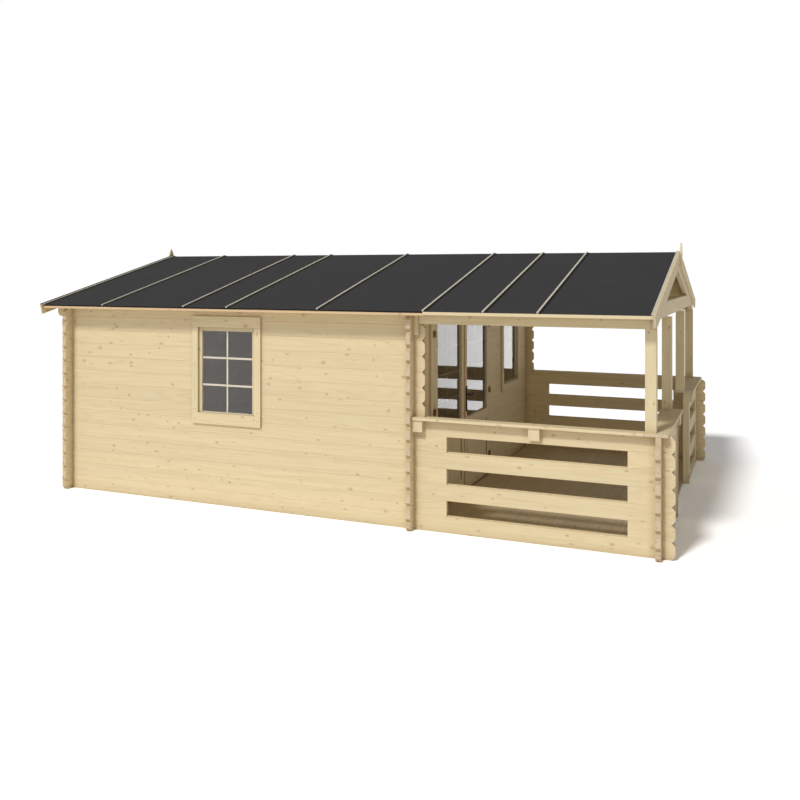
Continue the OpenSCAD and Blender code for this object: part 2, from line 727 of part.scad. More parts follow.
// Porch truss: two rafters and the tie between them
module front_truss() color(pine) placed() {
    half = header_w / 2;
    drop = upright(rafter_d);
    foot = roof_y(header_z + drop);
    both_sides() along_x(truss_back, roof_front, [[-half, header_z], [foot, header_z],
        [ridge_y - seat / 2, ridge_z - drop], [ridge_y - seat / 2, roof_z(ridge_y - seat / 2) - seat],
        [-half, roof_z(-half) - seat]]);
    y0 = roof_y(tie_z + drop) + 2 * seat;
    y1 = roof_y(tie_z + tie_d + drop) + 2 * seat;
    along_x(truss_back, roof_front, [[y0, tie_z], [cabin_w - y0, tie_z],
        [cabin_w - y1, tie_z + tie_d], [y1, tie_z + tie_d]]);
}
module ridge_beam() color(pine) placed() ridge(-reach, truss_back - seat, 0);
module side_purlins() color(pine) placed() both_sides() purlin(-reach, truss_back - seat, 0);

// Roof boards, felt and the battens that hold it
module roof_boards() {
    slope_strip(roof_back, roof_front, deck_eave, ridge_y - seat / 2, 0, upright(deck_t));
}
module felt() { slope_strip(roof_back, roof_front, -eave_reach, ridge_y - seat / 2, felt_low, felt_high); }
module near_roof_boards() color(pine_edge) placed() roof_boards();
module far_roof_boards() color(pine_edge) placed() far_side() roof_boards();
module near_felt() color(dark_felt) placed() felt();
module far_felt() color(dark_felt) placed() far_side() felt();
batten_share = [0, 0.1245, 0.2855, 0.3661, 0.5238, 0.6902, 0.7777, 0.8532, 1];
module roof_battens() color(pine_edge) placed() both_sides()
    for (s = batten_share) {
        x = roof_back + s * (roof_front - roof_back - batten_w);
        slope_strip(x, x + batten_w, -eave_reach, ridge_y - seat / 2, batten_low, batten_high);
    }

// Eave trims under the felt's lower edge
module eave_trim(x0, x1, h, extra) {
    y0 = -eave_reach - extra;
    y1 = deck_eave - seat;
    top = upright(deck_t);
    z = roof_z(-eave_reach) + top - h;
    along_x(x0, x1, [[y0, z], [y1, z], [y1, roof_z(y1) + top], [y0, roof_z(y0) + top]]);
}
module cabin_eave_trims() color(honey) placed() both_sides()
    eave_trim(roof_back, cabin_l + cabin_trim_reach, cabin_trim_h, 0);
module porch_eave_trims() color(pine) placed() both_sides()
    eave_trim(cabin_l + cabin_trim_reach + seat, roof_front, porch_trim_h, porch_trim_extra);

// Barge boards on both gables, and a finial over each pair
// Barge boards, cut square at the foot and upright at the ridge
module barge_pair(x) {
    low = batten_high - upright(barge_d);
    foot = -eave_reach - porch_trim_extra;
    toe = foot - barge_d * sin(roof_pitch);
    head = ridge_y - seat / 2;
    both_sides() along_x(x, x + barge_t, [[foot, roof_z(foot) + low], [head, roof_z(head) + low],
        [head, roof_z(head) + batten_high], [toe, roof_z(toe) + batten_high]]);
}
module barge_boards() color(pine) placed() {
    barge_pair(roof_front + seat);
    barge_pair(roof_back - seat - barge_t);
}
module finial(x) {
    half = finial_w / 2;
    rise = finial_h / 2;
    shoulder = finial_h / 5;
    translate([0, ridge_y, ridge_z]) along_x(x, x + finial_t, [[0, -rise], [half * 0.7, -shoulder],
        [half, 0], [half * 0.7, shoulder], [0, rise], [-half * 0.7, shoulder], [-half, 0],
        [-half * 0.7, -shoulder]]);
}
module gable_finials() color(pine) placed() {
    finial(roof_front + seat + barge_t + seat);
    finial(x_low);
}

back_wall();
near_lower_logs();
near_upper_logs();
far_lower_logs();
far_upper_logs();
front_wall_near();
front_wall_far();
front_wall_gable();
cabin_floor();
porch_floor();
near_window_frame();
near_window_glass();
far_window_frame();
far_window_glass();
front_window_frame();
front_window_glass();
door_frame();
frame_hinges();
near_door_leaf();
near_door_glass();
near_door_hinges();
far_door_leaf();
far_door_glass();
far_door_hinges();
lever_plates();
door_lever();
front_rail_near();
front_rail_far();
rail_end_boards();
rail_caps();
cap_blocks();
porch_posts();
header_beams();
header_blocks();
front_truss();
ridge_beam();
side_purlins();
near_roof_boards();
far_roof_boards();
near_felt();
far_felt();
roof_battens();
cabin_eave_trims();
porch_eave_trims();
barge_boards();
gable_finials();
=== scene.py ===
"""Log cabin with a roofed porch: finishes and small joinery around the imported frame."""

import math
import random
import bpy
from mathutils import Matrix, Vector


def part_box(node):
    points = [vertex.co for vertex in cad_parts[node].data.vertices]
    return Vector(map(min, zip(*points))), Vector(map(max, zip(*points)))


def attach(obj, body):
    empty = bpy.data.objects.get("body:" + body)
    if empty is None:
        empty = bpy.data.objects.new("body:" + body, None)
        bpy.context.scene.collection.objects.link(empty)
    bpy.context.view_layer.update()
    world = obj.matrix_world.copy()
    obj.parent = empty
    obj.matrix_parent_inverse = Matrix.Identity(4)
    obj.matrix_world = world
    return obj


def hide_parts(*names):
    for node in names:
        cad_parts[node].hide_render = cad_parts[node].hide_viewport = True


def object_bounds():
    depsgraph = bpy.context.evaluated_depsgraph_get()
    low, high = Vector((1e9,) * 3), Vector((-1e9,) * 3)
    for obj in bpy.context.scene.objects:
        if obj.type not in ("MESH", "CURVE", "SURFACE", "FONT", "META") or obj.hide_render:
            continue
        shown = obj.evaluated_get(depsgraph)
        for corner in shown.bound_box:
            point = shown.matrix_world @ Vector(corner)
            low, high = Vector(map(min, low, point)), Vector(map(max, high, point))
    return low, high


bl_info = {
    "name": "Log Cabin Looks",
    "version": (1, 0, 0),
    "blender": (4, 5, 0),
    "location": "View3D > Sidebar > Log Cabin",
    "description": "Dresses the frame of a log cabin with pine, felt, glass and joinery",
    "category": "Object",
}

from functools import partial

import bmesh
import bpy
from mathutils import Matrix, Vector

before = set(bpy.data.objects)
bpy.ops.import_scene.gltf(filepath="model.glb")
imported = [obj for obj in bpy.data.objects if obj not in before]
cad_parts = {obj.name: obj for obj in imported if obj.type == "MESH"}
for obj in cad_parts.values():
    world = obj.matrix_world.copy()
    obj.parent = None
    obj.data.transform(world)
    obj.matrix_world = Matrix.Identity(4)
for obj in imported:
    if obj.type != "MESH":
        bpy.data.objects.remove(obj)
CAD_LOW, CAD_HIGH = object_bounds()

X, Y, Z = 0, 1, 2
COLOUR, NUMBER, VECTOR = "NodeSocketColor", "NodeSocketFloat", "NodeSocketVector"

LOGS_ALONG_X = ("near_lower_logs", "near_upper_logs", "far_lower_logs", "far_upper_logs")
LOGS_ALONG_Y = (
    "back_wall", "front_wall_near", "front_wall_far", "front_wall_gable",
    "front_rail_near", "front_rail_far",
)
BOARD_NODES = (
    "near_window_frame", "far_window_frame", "front_window_frame", "door_frame",
    "near_door_leaf", "far_door_leaf", "rail_end_boards", "rail_caps", "cap_blocks",
    "header_blocks", "porch_eave_trims", "barge_boards", "gable_finials",
)
BEAM_NODES = ("porch_posts", "header_beams", "front_truss", "ridge_beam", "side_purlins")
GLASS_NODES = (
    "near_window_glass", "far_window_glass", "front_window_glass",
    "near_door_glass", "far_door_glass",
)
BRASS_NODES = ("frame_hinges", "near_door_hinges", "far_door_hinges")
BLACK_NODES = ("lever_plates", "door_lever")


# Settings

def colour_setting(name, description, default):
    """A colour property with a swatch."""
    return bpy.props.FloatVectorProperty(
        name=name, description=description, default=(*default, 1.0), subtype="COLOR",
        size=4, min=0.0, max=1.0)


def length_setting(name, description, default):
    """A length property in metres."""
    return bpy.props.FloatProperty(
        name=name, description=description, default=default, unit="LENGTH", precision=4)


def angle_setting(name, description, default):
    """An angle property in radians."""
    return bpy.props.FloatProperty(
        name=name, description=description, default=default, subtype="ANGLE", unit="ROTATION")


def number_setting(name, description, default):
    """A plain number property."""
    return bpy.props.FloatProperty(name=name, description=description, default=default)


# Each finish: what it is on, its main colour, and the colour of its grain or wear
FINISHES = {
    "log": ("wall logs", (0.825, 0.70, 0.455), (0.62, 0.455, 0.25)),
    "board": ("planed boards", (0.835, 0.715, 0.47), (0.64, 0.475, 0.26)),
    "floor": ("floors", (0.66, 0.545, 0.35), (0.50, 0.38, 0.22)),
    "honey": ("cabin eaves and meeting strip", (0.82, 0.60, 0.37), (0.63, 0.42, 0.225)),
    # The dark beads are painted shade in the reveals of the door panels
    "stain": ("beads beside the door panels", (0.17, 0.125, 0.065), (0.11, 0.08, 0.04)),
    "batten": ("roof battens", (0.74, 0.695, 0.575), (0.59, 0.545, 0.435)),
    "bar": ("glazing bars", (0.78, 0.73, 0.625), (0.64, 0.55, 0.415)),
    "felt": ("roofing felt", (0.043, 0.043, 0.043), (0.070, 0.070, 0.070)),
    # Bitumen is also the painted shadow beside each roof batten
    "bitumen": ("sealing of the felt", (0.005, 0.004, 0.002), (0.011, 0.009, 0.005)),
    "glass": ("panes", (0.68, 0.64, 0.59), (0.62, 0.58, 0.535)),
    "brass": ("hinges and screws", (0.40, 0.25, 0.065), (0.20, 0.125, 0.04)),
    "black": ("handle", (0.008, 0.007, 0.006), (0.030, 0.027, 0.024)),
}


class CabinColours(bpy.types.PropertyGroup):
    """The colours of the cabin's finishes."""

    knot: colour_setting("Knot", "Heart of a knot", (0.33, 0.195, 0.095))


for finish, (use, main_colour, second_colour) in FINISHES.items():
    label = finish.capitalize()
    CabinColours.__annotations__.update({
        f"{finish}_main": colour_setting(f"{label} main", f"Main colour of {use}", main_colour),
        f"{finish}_second": colour_setting(
            f"{label} second", f"Grain or wear of {use}", second_colour),
    })


class CabinSizes(bpy.types.PropertyGroup):
    """The sizes of the joinery that is added to the frame."""

    roof_pitch: angle_setting("Roof pitch", "Pitch of both roof slopes", math.radians(14))
    edge: length_setting("Edge", "Rounding of planed edges", 0.002)
    fine_edge: length_setting("Fine edge", "Rounding of thin strips", 0.001)
    weld: length_setting("Weld", "Distance that joins the corners of one board", 0.0001)
    bar_w: length_setting("Bar width", "Width of a glazing bar", 0.020)
    bar_d: length_setting("Bar depth", "Depth of a glazing bar on one side of the glass", 0.006)
    bead: length_setting("Bead", "Side of the beads around the glass", 0.005)
    glass_gap: length_setting("Glass gap", "Room between an added piece and its neighbour", 0.0003)
    floor_board: length_setting("Floor board", "Width of a floor board", 0.114)
    floor_gap: length_setting("Floor gap", "Gap between floor boards", 0.0014)
    roof_board: length_setting("Roof board", "Width of a roof board", 0.096)
    roof_gap: length_setting("Roof gap", "Gap between roof boards", 0.001)
    panel_board: length_setting("Panel board", "Width of a board in the door panel", 0.087)
    panel_board_t: length_setting("Panel board depth", "Depth of those boards", 0.003)
    panel_bead: length_setting("Panel bead", "Width of the beads beside the door panel", 0.009)
    bead_back: length_setting("Bead setback", "Depth of them behind the leaf's face", 0.0015)
    packing_back: length_setting("Packing setback", "Packing behind the block's face", 0.003)
    seal_w: length_setting("Seal width", "Width of the strip between the door leaves", 0.005)
    seal_out: length_setting("Seal reach", "Reach of that strip past the leaf's face", 0.010)
    seal_end: length_setting("Seal end", "Distance of that strip from the leaf's ends", 0.012)
    felt_sheet: length_setting("Felt sheet", "Width of a sheet of roofing felt", 1.0)
    felt_fold: length_setting("Felt fold", "Height of the felt's folded edge", 0.013)
    felt_fold_t: length_setting("Felt fold depth", "Thickness of the folded edge", 0.002)
    felt_seed: bpy.props.IntProperty(
        name="Felt seed", description="Seed for the uneven cut of the felt", default=7)
    # The strip of painted shadow that each batten casts on the felt
    batten_shadow_w: length_setting("Seam width", "Width of the sealing beside a roof batten", 0.020)
    verge_lap: length_setting("Verge lap", "Thickness of felt on the back barge boards", 0.004)
    screw_r: length_setting("Screw", "Radius of a screw head", 0.0045)
    screw_h: length_setting("Screw height", "Height of a screw head", 0.0015)
    screw_inset: length_setting("Screw inset", "Distance of a screw from a trim's end", 0.035)
    hinge_inset: length_setting("Hinge inset", "Distance of a screw from a hinge's edge", 0.017)
    hinge_t: length_setting("Hinge thickness", "Thickness of a hinge plate", 0.003)
    plate_inset: length_setting("Plate inset", "Distance of a screw from a plate's end", 0.014)
    batten_screws: bpy.props.IntProperty(
        name="Batten screws", description="Number of screws in a roof batten", default=5)


class CabinStage(bpy.types.PropertyGroup):
    """The light, the floor and the camera."""

    sun_strength: number_setting("Sun strength", "Strength of the key light", 1.87)
    sun_angle: angle_setting("Sun softness", "Angle that the key light spans", math.radians(9))
    sun_travel: bpy.props.FloatVectorProperty(
        name="Sun travel", description="Direction in which the light travels",
        default=(0.27, 1.0, -1.2), subtype="DIRECTION")
    sky_low: number_setting("Low sky", "Strength of the light from the horizon", 0.50)
    sky_high: number_setting("High sky", "Strength of the light from above", 0.17)
    sky_front: number_setting("Front sky", "Added light from the viewed side", 0.16)
    sky_side: number_setting("Side sky", "Lost light from the porch's front", 0.085)
    floor_gain: number_setting("Floor gain", "Brightness of the floor in the picture", 1.57)
    mirrored: number_setting("Mirrored", "Brightness of the stage that the panes reflect", 3.4)
    backdrop: colour_setting("Backdrop", "Colour behind the cabin", (1, 1, 1))
    floor: colour_setting("Floor", "Colour of the floor in the picture", (0.93, 0.93, 0.93))
    floor_bounce: colour_setting("Floor bounce", "Floor as the cabin sees it", (1.0, 0.985, 0.96))
    floor_size: length_setting("Floor size", "Half side of the floor", 400.0)
    floor_drop: length_setting("Floor drop", "Distance of the floor below the cabin", 0.002)
    camera_place: bpy.props.FloatVectorProperty(
        name="Camera", description="Place of the camera", subtype="TRANSLATION",
        unit="LENGTH", default=(CAD_HIGH.x + 0.6452, -9.48434, 2.36426))
    camera_turn: angle_setting("Camera turn", "Turn of the camera about the vertical", 0.3952)
    camera_reach: length_setting("Camera reach", "Farthest distance that the camera sees", 2000.0)
    lens: number_setting("Lens", "Focal length in millimetres", 38.918)
    shift: number_setting("Shift", "Vertical shift of the picture", -0.1591)


# Node tree helpers

def plug(tree, value, socket):
    """Links a socket, or sets its value."""
    if isinstance(value, bpy.types.NodeSocket):
        tree.links.new(value, socket)
    else:
        socket.default_value = value


def add_math(tree, operation, *values, clamp=False):
    """A math node's result."""
    node = tree.nodes.new("ShaderNodeMath")
    node.operation = operation
    node.use_clamp = clamp
    for socket, value in zip(node.inputs, values):
        plug(tree, value, socket)
    return node.outputs["Value"]


def add_vector_math(tree, operation, *values, output="Vector"):
    """A vector math node's result."""
    node = tree.nodes.new("ShaderNodeVectorMath")
    node.operation = operation
    for socket, value in zip(node.inputs, values):
        plug(tree, value, socket)
    return node.outputs[output]


def add_mix(tree, factor, first, second):
    """A mix of two colours."""
    node = tree.nodes.new("ShaderNodeMix")
    node.data_type = "RGBA"
    plug(tree, factor, node.inputs["Factor"])
    colours = [socket for socket in node.inputs if socket.type == "RGBA"]
    plug(tree, first, colours[0])
    plug(tree, second, colours[1])
    return next(socket for socket in node.outputs if socket.type == "RGBA")


def add_range(tree, value, low, high, to_low, to_high):
    """A smooth ramp from one range of values to another."""
    node = tree.nodes.new("ShaderNodeMapRange")
    node.interpolation_type = "SMOOTHSTEP"
    sockets = ("Value", "From Min", "From Max", "To Min", "To Max")
    for socket, given in zip(sockets, (value, low, high, to_low, to_high)):
        plug(tree, given, node.inputs[socket])
    return node.outputs["Result"]


def add_noise(tree, vector, scale, detail, roughness=0.55):
    """A noise value over the surface."""
    node = tree.nodes.new("ShaderNodeTexNoise")
    plug(tree, vector, node.inputs["Vector"])
    node.inputs["Scale"].default_value = scale
    node.inputs["Detail"].default_value = detail
    node.inputs["Roughness"].default_value = roughness
    return node.outputs[0]


def add_split(tree, vector):
    """The X, Y and Z of a vector."""
    node = tree.nodes.new("ShaderNodeSeparateXYZ")
    tree.links.new(vector, node.inputs["Vector"])
    return node.outputs


def object_place(tree):
    """The place on the piece."""
    return tree.nodes.new("ShaderNodeTexCoord").outputs["Object"]


def new_group(name, **inputs):
    """A shader node group that puts out a surface, and its input and output nodes."""
    group = bpy.data.node_groups.new(name, "ShaderNodeTree")
    outputs = {"Color": COLOUR, "Roughness": NUMBER, "Height": NUMBER}
    for way, sockets in (("INPUT", inputs), ("OUTPUT", outputs)):
        for socket, kind in sockets.items():
            group.interface.new_socket(socket, in_out=way, socket_type=kind)
    return group, group.nodes.new("NodeGroupInput"), group.nodes.new("NodeGroupOutput")


# Shared effects

# How often a pattern of the pine repeats in a metre, along and across the grain
FIBRE_REPEATS = (2.2, 95, 95)
STREAK_REPEATS = (0.55, 21, 21)
RING_REPEATS = (0.32, 5.5, 5.5)
KNOT_REPEATS = (3.1, 6.9, 6.9)
RING_COUNT = 88.0
LATE_WOOD_SHARPNESS = 2.5
# Distance in the tree between two boards
CUT_SPACING = (31.7, 17.3, 23.9)
# Knots: least radius, what chance adds to it, share of cells without one, and length
KNOT_RADIUS, KNOT_SPREAD, KNOT_FREE, KNOT_LENGTH = 0.0055, 0.009, 0.30, (0.72, 1, 1)
KNOT_STRENGTH, HALO_STRENGTH = 0.47, 0.40
# Shares of deep wood from the board itself, its streaks, rings, fibres and end grain
BOARD_SHARE, STREAK_SHARE, RING_SHARE, FIBRE_SHARE, END_SHARE = 0.20, 0.34, 0.17, 0.24, 0.10
PALE_SHARE = 0.24
# Painted shade on the chamfers at the log ends, where the V between two logs lies in shade
BEVEL_SHADE = 0.48
BOARD_TINTS = ((1.0, 0.972, 0.945, 1), (0.985, 1.0, 0.99, 1))
END_TINT = (0.88, 0.86, 0.93, 1)
# Painted shade in corners: reach, samples and tint
CORNER_SHADE_REACH, CORNER_SHADE_SAMPLES, CORNER_SHADE_TINT = 0.085, 6, (0.58, 0.53, 0.47, 1)
WHITE = (1, 1, 1, 1)


def sawn_pine_group():
    """Grain, rings, knots and end grain of sawn pine, with its own pattern on each board, and
    painted shade in corners and on the chamfers at log ends.
    """
    name = "Sawn pine"
    if name in bpy.data.node_groups:
        return bpy.data.node_groups[name]
    group, given, result = new_group(
        name, Turn=VECTOR, Pale=COLOUR, Deep=COLOUR, Knot=COLOUR, Knots=NUMBER)
    calc, vector = partial(add_math, group), partial(add_vector_math, group)
    ramp, mix = partial(add_range, group), partial(add_mix, group)
    place = group.nodes.new("ShaderNodeTexCoord")
    board = group.nodes.new("ShaderNodeNewGeometry").outputs["Random Per Island"]

    def turned(direction):
        node = group.nodes.new("ShaderNodeVectorRotate")
        node.rotation_type = "EULER_XYZ"
        group.links.new(direction, node.inputs["Vector"])
        group.links.new(given.outputs["Turn"], node.inputs["Rotation"])
        return node.outputs["Vector"]

    # The grain runs along X here, and each board is cut from its own place in the tree
    cut_from = vector("MULTIPLY", CUT_SPACING, board)
    spot = vector("ADD", turned(place.outputs["Object"]), cut_from)
    facing = vector("ABSOLUTE", turned(place.outputs["Normal"]))

    fibre = add_noise(group, vector("MULTIPLY", spot, FIBRE_REPEATS), 1, 4, 0.62)
    streak = add_noise(group, vector("MULTIPLY", spot, STREAK_REPEATS), 1, 3)
    bow = add_noise(group, vector("MULTIPLY", spot, RING_REPEATS), 1, 2)
    ring = calc("SINE", calc("MULTIPLY", bow, RING_COUNT))
    late_wood = calc("POWER", calc("MULTIPLY_ADD", ring, 0.5, 0.5), LATE_WOOD_SHARPNESS)

    # One knot in each stretched cell, round on the face that it shows on
    voronoi = group.nodes.new("ShaderNodeTexVoronoi")
    voronoi.inputs["Scale"].default_value = 1.0
    stretched = vector("MULTIPLY", spot, KNOT_REPEATS)
    group.links.new(stretched, voronoi.inputs["Vector"])
    away = vector("SUBTRACT", voronoi.outputs["Position"], stretched)
    away = vector("DIVIDE", away, KNOT_REPEATS)
    away = vector("MULTIPLY", away, vector("SUBTRACT", (1, 1, 1), facing))
    away = vector("MULTIPLY", away, KNOT_LENGTH)
    chance = group.nodes.new("ShaderNodeSeparateColor")
    group.links.new(voronoi.outputs["Color"], chance.inputs["Color"])
    radius = calc("MULTIPLY_ADD", chance.outputs["Red"], KNOT_SPREAD, KNOT_RADIUS)
    present = calc("GREATER_THAN", chance.outputs["Green"], KNOT_FREE)
    present = calc("MULTIPLY", present, given.outputs["Knots"])
    span = calc("DIVIDE", vector("LENGTH", away, output="Value"), radius)
    heart = calc("MULTIPLY", ramp(span, 0.2, 1.35, KNOT_STRENGTH, 0.0), present)
    halo = calc("MULTIPLY", ramp(span, 0.9, 3.4, HALO_STRENGTH, 0.0), present)

    # Colour: the board's own tone, late wood and fibres, then knots, end grain and painted shade
    # on the chamfers at the log ends
    tone = calc("MULTIPLY_ADD", board, BOARD_SHARE, calc("MULTIPLY", streak, STREAK_SHARE))
    lines = calc("MULTIPLY_ADD", late_wood, RING_SHARE, calc("MULTIPLY", fibre, FIBRE_SHARE))
    amount = calc("SUBTRACT", calc("ADD", lines, tone), PALE_SHARE, clamp=True)
    axial = add_split(group, facing)["X"]
    end_grain = ramp(axial, 0.8, 0.95, 0.0, 1.0)
    # Painted shade on the chamfers at the log ends, drawn towards the knot colour
    end_bevel_shade = calc("SUBTRACT", ramp(axial, 0.45, 0.65, 0.0, 1.0), end_grain)
    amount = calc("MULTIPLY_ADD", end_grain, END_SHARE, amount, clamp=True)
    amount = calc("MAXIMUM", amount, halo)
    heart = calc("MULTIPLY_ADD", end_bevel_shade, BEVEL_SHADE, heart, clamp=True)
    wood = mix(amount, given.outputs["Pale"], given.outputs["Deep"])
    wood = vector("MULTIPLY", wood, mix(end_grain, mix(board, *BOARD_TINTS), END_TINT))

    # Painted shade in the corners of upright faces, darker where other faces are near
    corner = group.nodes.new("ShaderNodeAmbientOcclusion")
    corner.samples = CORNER_SHADE_SAMPLES
    corner.inputs["Distance"].default_value = CORNER_SHADE_REACH
    level = add_split(group, vector("ABSOLUTE", place.outputs["Normal"]))["Z"]
    corner_shade = calc("SUBTRACT", 1.0, corner.outputs["AO"])
    corner_shade = calc("MULTIPLY", corner_shade, ramp(level, 0.15, 0.4, 1.0, 0.0))
    wood = vector("MULTIPLY", wood, mix(corner_shade, WHITE, CORNER_SHADE_TINT))

    group.links.new(mix(heart, wood, given.outputs["Knot"]), result.inputs["Color"])
    rough = calc("MULTIPLY_ADD", fibre, 0.22, 0.46)
    group.links.new(calc("MULTIPLY_ADD", heart, -0.14, rough), result.inputs["Roughness"])
    relief = calc("MULTIPLY_ADD", late_wood, 0.45, calc("MULTIPLY", fibre, 0.55))
    group.links.new(calc("MULTIPLY_ADD", heart, 0.35, relief), result.inputs["Height"])
    return group


def worn_metal_group():
    """Blotches and fine brush marks that break up a metal or lacquer finish."""
    name = "Worn metal"
    if name in bpy.data.node_groups:
        return bpy.data.node_groups[name]
    group, given, result = new_group(name, Fresh=COLOUR, Worn=COLOUR, Smooth=NUMBER)
    place = object_place(group)
    blotch = add_noise(group, place, 60, 3)
    brush = add_noise(group, add_vector_math(group, "MULTIPLY", place, (1, 1, 12)), 220, 2)
    worn = add_range(group, blotch, 0.48, 0.72, 0.0, 0.8)
    colour = add_mix(group, worn, given.outputs["Fresh"], given.outputs["Worn"])
    group.links.new(colour, result.inputs["Color"])
    rough = add_math(group, "MULTIPLY_ADD", blotch, 0.25, given.outputs["Smooth"])
    group.links.new(rough, result.inputs["Roughness"])
    group.links.new(brush, result.inputs["Height"])
    return group


# Materials

def grain_turn(grain, pitch):
    """The turn that lays a direction of grain along X."""
    quarter = math.pi / 2
    return {
        "X": (0, 0, 0), "Y": (0, 0, -quarter), "Z": (0, quarter, 0),
        "near slope": (-pitch, 0, -quarter), "far slope": (pitch, 0, -quarter),
    }[grain]


def colours_of(scene, finish):
    """The two colours of a finish."""
    colours = scene.cabin_colours
    return getattr(colours, f"{finish}_main"), getattr(colours, f"{finish}_second")


def new_material(name):
    """A material with its Principled shader."""
    material = bpy.data.materials.new(name)
    material.use_nodes = True
    return material, material.node_tree, material.node_tree.nodes["Principled BSDF"]


def add_group(tree, group, **values):
    """A group in a material, with its own values."""
    node = tree.nodes.new("ShaderNodeGroup")
    node.node_tree = group
    for name, value in values.items():
        node.inputs[name].default_value = value
    return node


def set_surface(tree, shader, colour, roughness, height, strength, distance, specular=0.2):
    """Gives a shader its colour, its roughness, its relief and its gloss."""
    tree.links.new(colour, shader.inputs["Base Color"])
    tree.links.new(roughness, shader.inputs["Roughness"])
    bump = tree.nodes.new("ShaderNodeBump")
    bump.inputs["Strength"].default_value = strength
    bump.inputs["Distance"].default_value = distance
    tree.links.new(height, bump.inputs["Height"])
    tree.links.new(bump.outputs["Normal"], shader.inputs["Normal"])
    shader.inputs["Specular IOR Level"].default_value = specular


def pine(scene, finish, grain):
    """Pine of one finish, with its grain in one direction."""
    name = f"Pine {finish}, grain along {grain}"
    if name in bpy.data.materials:
        return bpy.data.materials[name]
    material, tree, shader = new_material(name)
    pale, deep = colours_of(scene, finish)
    wood = add_group(
        tree, sawn_pine_group(), Turn=grain_turn(grain, scene.cabin_sizes.roof_pitch),
        Pale=pale, Deep=deep, Knot=scene.cabin_colours.knot,
        Knots=0.0 if finish == "bar" else 1.0)
    set_surface(tree, shader, *wood.outputs, strength=0.35, distance=0.0008, specular=0.3)
    return material


def mineral_felt(scene):
    """Dark roofing felt with mineral grains and long soft ripples."""
    name = "Mineral felt"
    if name in bpy.data.materials:
        return bpy.data.materials[name]
    material, tree, shader = new_material(name)
    place = object_place(tree)
    grains = add_noise(tree, place, 420, 2, 0.7)
    cloud = add_noise(tree, place, 2.3, 3)
    ripple = add_noise(tree, add_vector_math(tree, "MULTIPLY", place, (3.0, 0.5, 0.5)), 2.0, 2)
    specks = add_range(tree, grains, 0.5, 0.72, 0.0, 0.55)
    bright = add_math(tree, "MULTIPLY_ADD", cloud, 0.45, specks)
    bright = add_math(tree, "SUBTRACT", bright, 0.2, clamp=True)
    set_surface(
        tree, shader, add_mix(tree, bright, *colours_of(scene, "felt")),
        add_math(tree, "MULTIPLY_ADD", grains, 0.2, 0.75),
        add_math(tree, "MULTIPLY_ADD", ripple, 4.0, grains), strength=0.4, distance=0.0012)
    return material


def bitumen(scene):
    """Dark sealing bitumen, dull in places, which also serves as painted shadow beside the roof
    battens.
    """
    name = "Bitumen"
    if name in bpy.data.materials:
        return bpy.data.materials[name]
    material, tree, shader = new_material(name)
    blotch = add_noise(tree, object_place(tree), 55, 3)
    set_surface(
        tree, shader, add_mix(tree, blotch, *colours_of(scene, "bitumen")),
        add_math(tree, "MULTIPLY_ADD", blotch, 0.3, 0.5), blotch, strength=0.3, distance=0.001)
    return material


def window_glass(scene):
    """Clear float glass with faint smears."""
    name = "Window glass"
    if name in bpy.data.materials:
        return bpy.data.materials[name]
    material, tree, shader = new_material(name)
    smeared = add_vector_math(tree, "MULTIPLY", object_place(tree), (1, 1, 0.35))
    dull = add_range(tree, add_noise(tree, smeared, 7, 3), 0.45, 0.75, 0.0, 1.0)
    tint = add_mix(tree, dull, *colours_of(scene, "glass"))
    tree.links.new(tint, shader.inputs["Base Color"])
    shader.inputs["Transmission Weight"].default_value = 1.0
    shader.inputs["IOR"].default_value = 1.46
    shader.inputs["Roughness"].default_value = 0.0
    return material


def metal(scene, finish, metallic, smooth):
    """A metal or lacquered fitting."""
    name = f"{finish.capitalize()} fittings"
    if name in bpy.data.materials:
        return bpy.data.materials[name]
    material, tree, shader = new_material(name)
    fresh, worn = colours_of(scene, finish)
    surface = add_group(tree, worn_metal_group(), Fresh=fresh, Worn=worn, Smooth=smooth)
    set_surface(tree, shader, *surface.outputs, strength=0.1, distance=0.0002)
    shader.inputs["Metallic"].default_value = metallic
    return material


def brass(scene):
    """Dull brass of hinges and screws."""
    return metal(scene, "brass", metallic=1.0, smooth=0.2)


def black_lacquer(scene):
    """Black lacquer of the handle."""
    return metal(scene, "black", metallic=0.0, smooth=0.40)


# Mesh helpers

# Fineness, in steps per metre, at which two corners count as one
CORNER_STEPS = 20000
EDGE_SEGMENTS, EDGE_ANGLE = 2, math.radians(35)
# Each ring of a screw head, in shares: radius at foot and top, height of foot and top
SCREW_RINGS = ((1.0, 0.72, 0.0, 0.7), (0.72, 0.40, 0.7, 1.0))
SCREW_SEGMENTS = 14
# A board that climbs by these shares of the roof's pitch runs along the slope
SLOPE_SHARES = (0.7, 1.6)
# A corner this near to the line of a sloping board's edge belongs to that edge
EDGE_REACH = 0.002


def add_board(bm, corner, opposite):
    """A board between two opposite corners."""
    low = Vector(map(min, corner, opposite))
    high = Vector(map(max, corner, opposite))
    size = Matrix.Diagonal((*(high - low), 1))
    bmesh.ops.create_cube(bm, size=1, matrix=Matrix.Translation((low + high) / 2) @ size)


def add_sloping_board(bm, x0, x1, foot, head):
    """A board that climbs from its foot to its head, each given as (y, underside, top)."""
    points = [(x, y, z) for x in (x0, x1) for y, low, high in (foot, head) for z in (low, high)]
    corners = [bm.verts.new(point) for point in points]
    sides = ((0, 1, 3, 2), (4, 6, 7, 5), (0, 4, 5, 1), (2, 3, 7, 6), (0, 2, 6, 4), (1, 5, 7, 3))
    for side in sides:
        bm.faces.new([corners[i] for i in side])
    bmesh.ops.recalc_face_normals(bm, faces=bm.faces)


